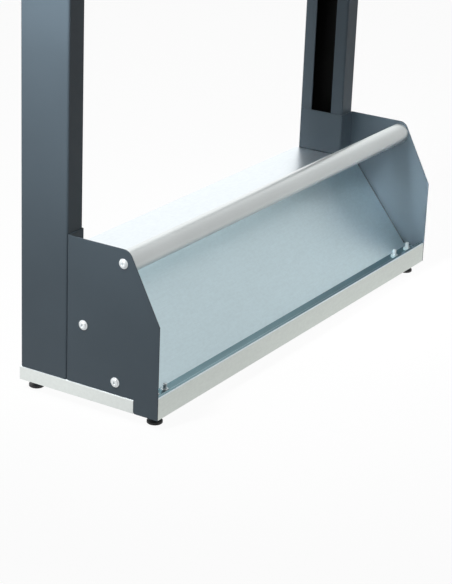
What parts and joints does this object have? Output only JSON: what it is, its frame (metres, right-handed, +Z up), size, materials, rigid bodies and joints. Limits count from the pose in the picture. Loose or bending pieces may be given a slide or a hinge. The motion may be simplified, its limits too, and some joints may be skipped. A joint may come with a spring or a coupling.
{
  "type": "ski rack stand",
  "caption": "Freestanding ski rack stand: slotted posts, folded side panels, a sloped drip tray with a gutter, a front bar, levelling feet and a pegged upper holder.",
  "frame": {"origin": "on the floor, under the middle of the object's box, with the levelling feet screwed right in", "axes": "+Z up, +X along the rack towards the right-hand side panel, +Y from the front bar towards the posts"},
  "size_m": [1.0088, 0.297, 1.6],
  "materials": {
    "powder_coat": "satin anthracite powder coat",
    "galvanised": "bright galvanised sheet, satin",
    "bar_tube": "satin",
    "zinc": "bright zinc plate",
    "black_plastic": "matt",
    "sleeve_rubber": "matt"
  },
  "bodies": {
    "stand": {"left_side_panel": "powder_coat", "right_side_panel": "powder_coat", "left_post": "powder_coat", "right_post": "powder_coat", "left_post_base_plate": "galvanised", "right_post_base_plate": "galvanised", "left_post_cap": "black_plastic", "right_post_cap": "black_plastic", "left_end_rail": "galvanised", "right_end_rail": "galvanised", "front_rail": "galvanised", "rear_rail": "galvanised", "front_fascia": "galvanised", "drip_tray": "galvanised", "front_left_corner_plate": "galvanised", "front_right_corner_plate": "galvanised", "rear_left_corner_plate": "galvanised", "rear_right_corner_plate": "galvanised", "foot_bushes": "zinc", "foot_lock_nuts": "zinc", "front_bar": "bar_tube", "left_bar_plug": "zinc", "right_bar_plug": "zinc", "bar_bolts": "zinc", "tray_side_bolts": "zinc", "tray_side_nuts": "zinc", "gutter_bolts": "zinc", "gutter_nuts": "zinc", "frame_bolts": "zinc", "frame_nuts": "zinc", "post_base_bolts": "zinc", "post_base_nuts": "zinc", "top_beam": "powder_coat", "left_beam_plate": "powder_coat", "right_beam_plate": "powder_coat", "beam_bolts": "zinc", "left_beam_slot_plate": "zinc", "right_beam_slot_plate": "zinc", "holder_rail": "powder_coat", "left_holder_cap": "black_plastic", "right_holder_cap": "black_plastic", "left_holder_bracket": "powder_coat", "right_holder_bracket": "powder_coat", "left_holder_slot_plate": "zinc", "right_holder_slot_plate": "zinc", "holder_slot_bolts": "zinc", "holder_bolts": "zinc", "holder_nuts": "zinc", "ski_pegs": "zinc", "peg_sleeves": "sleeve_rubber", "peg_nuts": "zinc"},
    "front_left_pad": {"front_left_foot_pad": "black_plastic"},
    "front_left_stud": {"front_left_foot_stud": "zinc"},
    "front_right_pad": {"front_right_foot_pad": "black_plastic"},
    "front_right_stud": {"front_right_foot_stud": "zinc"},
    "rear_left_pad": {"rear_left_foot_pad": "black_plastic"},
    "rear_left_stud": {"rear_left_foot_stud": "zinc"},
    "rear_right_pad": {"rear_right_foot_pad": "black_plastic"},
    "rear_right_stud": {"rear_right_foot_stud": "zinc"}
  },
  "joints": [
    {"name": "front_left_foot_slide", "type": "slide", "parent": "stand", "child": "front_left_pad", "axis": [0, 0, -1], "range_m": [0, 0.01]},
    {"name": "front_left_stud_spin", "type": "hinge", "parent": "front_left_pad", "child": "front_left_stud", "pos_m": [-0.47, -0.1235, 0.03], "axis": [0, 0, -1], "range_deg": [0, 2880]},
    {"name": "front_right_foot_slide", "type": "slide", "parent": "stand", "child": "front_right_pad", "axis": [0, 0, -1], "range_m": [0, 0.01]},
    {"name": "front_right_stud_spin", "type": "hinge", "parent": "front_right_pad", "child": "front_right_stud", "pos_m": [0.47, -0.1235, 0.03], "axis": [0, 0, -1], "range_deg": [0, 2880]},
    {"name": "rear_left_foot_slide", "type": "slide", "parent": "stand", "child": "rear_left_pad", "axis": [0, 0, -1], "range_m": [0, 0.01]},
    {"name": "rear_left_stud_spin", "type": "hinge", "parent": "rear_left_pad", "child": "rear_left_stud", "pos_m": [-0.47, 0.1315, 0.03], "axis": [0, 0, -1], "range_deg": [0, 2880]},
    {"name": "rear_right_foot_slide", "type": "slide", "parent": "stand", "child": "rear_right_pad", "axis": [0, 0, -1], "range_m": [0, 0.01]},
    {"name": "rear_right_stud_spin", "type": "hinge", "parent": "rear_right_pad", "child": "rear_right_stud", "pos_m": [0.47, 0.1315, 0.03], "axis": [0, 0, -1], "range_deg": [0, 2880]}
  ],
  "couplings": [
    {"joint": "front_left_stud_spin", "follows": "front_left_foot_slide", "rad_per_m": 5026.5},
    {"joint": "front_right_stud_spin", "follows": "front_right_foot_slide", "rad_per_m": 5026.5},
    {"joint": "rear_left_stud_spin", "follows": "rear_left_foot_slide", "rad_per_m": 5026.5},
    {"joint": "rear_right_stud_spin", "follows": "rear_right_foot_slide", "rad_per_m": 5026.5}
  ]
}
